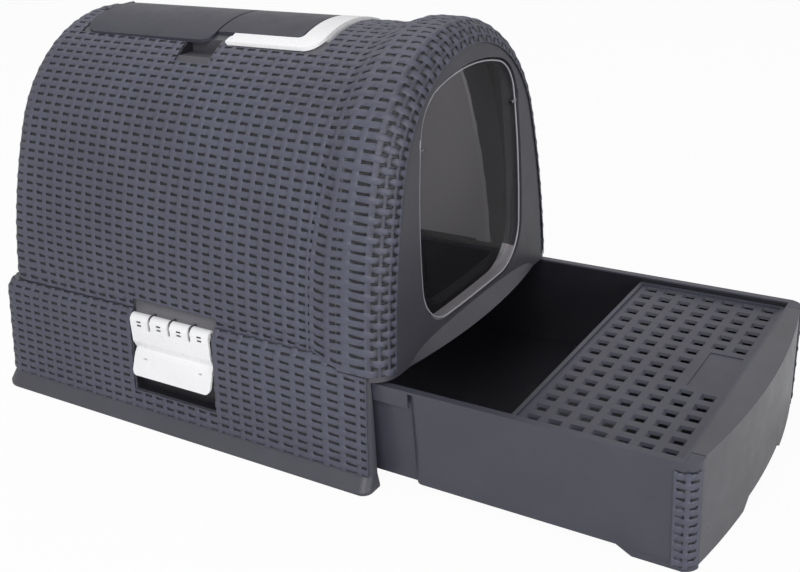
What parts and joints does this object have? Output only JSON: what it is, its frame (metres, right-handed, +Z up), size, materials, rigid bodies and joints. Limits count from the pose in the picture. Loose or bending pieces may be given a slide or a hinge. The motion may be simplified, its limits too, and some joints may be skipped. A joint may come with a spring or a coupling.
{
  "type": "drawer litter box",
  "caption": "Hooded litter box with an arched woven-look cover, a clear swing door, white side latches and a pull-out litter drawer with a paw-cleaning grid.",
  "frame": {"origin": "middle of the base's underside, on the floor", "axes": "+Z up, -Y towards the drawer and the door, +X to the right as seen along +Y"},
  "size_m": [0.3866, 0.811, 0.4023],
  "materials": {
    "woven_plastic": "satin, moulded weave",
    "plain_plastic": "satin",
    "pin_plastic": "satin",
    "clear_plastic": "clear, slightly smoky",
    "white_plastic": "satin gloss",
    "drawer_plastic": "fine satin",
    "front_plastic": "smooth satin"
  },
  "bodies": {
    "base": {"base_shell": "woven_plastic"},
    "hood": {"hood_shell": "woven_plastic", "storage_well": "plain_plastic", "handle_plate": "plain_plastic", "handle_pivot_pins": "pin_plastic", "lid_hinge_pin": "pin_plastic", "latch_hinge_rods": "pin_plastic"},
    "door": {"swing_door": "clear_plastic", "door_pivot_pins": "pin_plastic"},
    "lid": {"storage_lid": "plain_plastic"},
    "handle": {"carry_handle": "white_plastic"},
    "latch_l": {"latch_left": "white_plastic"},
    "latch_r": {"latch_right": "white_plastic"},
    "drawer": {"drawer_tray": "drawer_plastic", "drawer_front": "front_plastic"},
    "grid": {"litter_grid": "drawer_plastic"}
  },
  "joints": [
    {"name": "hood_lift", "type": "slide", "parent": "base", "child": "hood", "axis": [0, 0, 1], "range_m": [0, 0.08]},
    {"name": "door_swing", "type": "hinge", "parent": "hood", "child": "door", "pos_m": [0, -0.26195, 0.306], "axis": [1, 0, 0], "range_deg": [-75, 75]},
    {"name": "lid_hinge", "type": "hinge", "parent": "hood", "child": "lid", "pos_m": [0, 0.172, 0.3939], "axis": [-1, 0, 0], "range_deg": [0, 100]},
    {"name": "handle_pivot", "type": "hinge", "parent": "hood", "child": "handle", "pos_m": [0, -0.0315, 0.3825], "axis": [-1, 0, 0], "range_deg": [0, 95]},
    {"name": "latch_left_hinge", "type": "hinge", "parent": "hood", "child": "latch_l", "pos_m": [-0.1715, -0.0105, 0.1186], "axis": [0, 1, 0], "range_deg": [0, 100]},
    {"name": "latch_right_hinge", "type": "hinge", "parent": "hood", "child": "latch_r", "pos_m": [0.1715, -0.0105, 0.1186], "axis": [0, -1, 0], "range_deg": [0, 100]},
    {"name": "drawer_slide", "type": "slide", "parent": "base", "child": "drawer", "axis": [0, 1, 0], "range_m": [0, 0.286]},
    {"name": "grid_lift", "type": "slide", "parent": "drawer", "child": "grid", "axis": [0, 0, 1], "range_m": [0, 0.03]}
  ]
}
